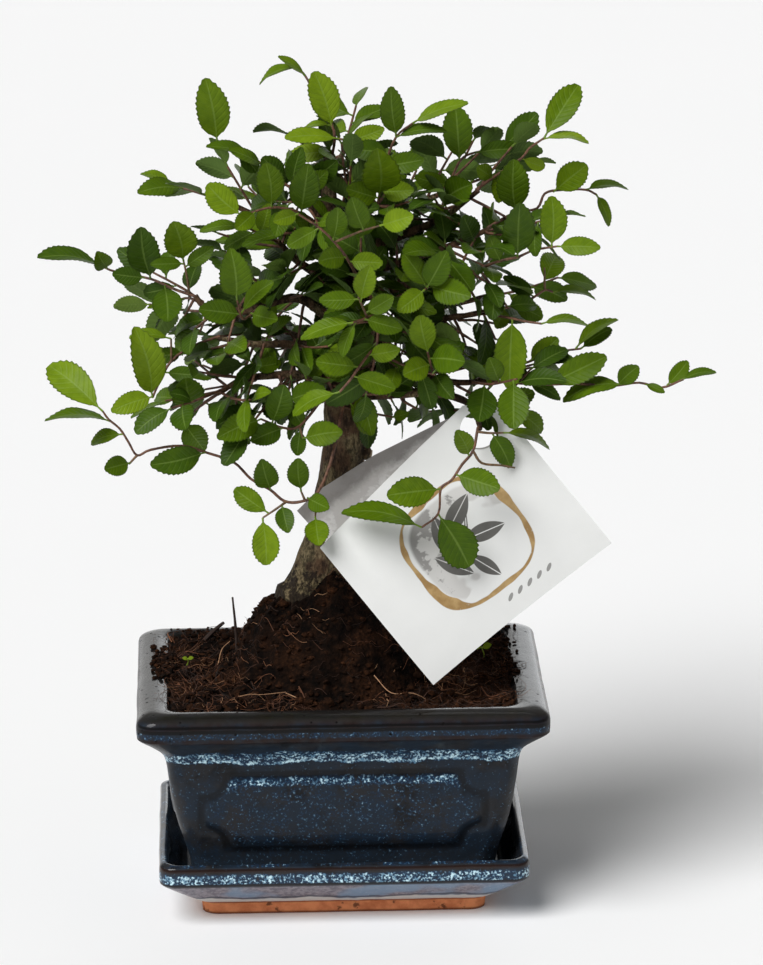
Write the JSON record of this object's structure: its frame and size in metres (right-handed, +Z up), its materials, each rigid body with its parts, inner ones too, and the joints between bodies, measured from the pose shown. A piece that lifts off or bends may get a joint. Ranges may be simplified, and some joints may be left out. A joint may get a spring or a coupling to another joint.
{
  "type": "potted bonsai tree",
  "caption": "Small-leaved elm grown as a mini bonsai with a curved trunk and loose leafy sprays, in a glazed rectangular pot on its saucer, with a plain folded card on a twig.",
  "frame": {"origin": "middle of the saucer's foot, on the surface that it stands on", "axes": "+X to the right along the pot's long side, +Y to the back, +Z up along the tree"},
  "size_m": [0.2452, 0.1424, 0.3135],
  "materials": {
    "pot_glaze": "glossy dark blue glaze with fine lighter speckles",
    "saucer_glaze": "glossy dark blue glaze with a lighter band and a bare foot",
    "potting_fibre": "matt peat and coconut fibre",
    "bark": "rough grey-brown bark",
    "leaf": "slightly glossy toothed leaves",
    "card": "smooth white card"
  },
  "bodies": {
    "root": {"label_card": "card", "pot": "pot_glaze", "saucer": "saucer_glaze", "soil": "potting_fibre", "spray_back_left_high_0": "leaf", "spray_back_left_high_1": "leaf", "spray_back_left_high_2": "leaf", "spray_back_left_low_3": "leaf", "spray_back_left_low_4": "leaf", "spray_back_left_low_5": "leaf", "spray_back_low_16": "leaf", "spray_back_low_17": "leaf", "spray_back_mid_11": "leaf", "spray_back_mid_12": "leaf", "spray_back_mid_13": "leaf", "spray_back_right_high_6": "leaf", "spray_back_right_high_7": "leaf", "spray_back_right_high_8": "leaf", "spray_back_right_low_10": "leaf", "spray_back_right_low_9": "leaf", "spray_back_top_14": "leaf", "spray_back_top_15": "leaf", "spray_card_front": "leaf", "spray_front_low": "leaf", "spray_front_low_mid": "leaf", "spray_front_mid": "leaf", "spray_front_right": "leaf", "spray_front_right_low": "leaf", "spray_left_high": "leaf", "spray_left_inner": "leaf", "spray_left_low": "leaf", "spray_left_lower": "leaf", "spray_left_mid": "leaf", "spray_left_top": "leaf", "spray_left_top_low": "leaf", "spray_left_upper": "leaf", "spray_low_left": "leaf", "spray_right_high": "leaf", "spray_right_high_b": "leaf", "spray_right_low": "leaf", "spray_right_low_far": "leaf", "spray_right_low_front": "leaf", "spray_right_mid": "leaf", "spray_right_mid_low": "leaf", "spray_top_left": "leaf", "spray_top_mid": "leaf", "spray_top_right": "leaf", "spray_top_right_inner": "leaf", "trunk": "bark"}
  },
  "joints": []
}
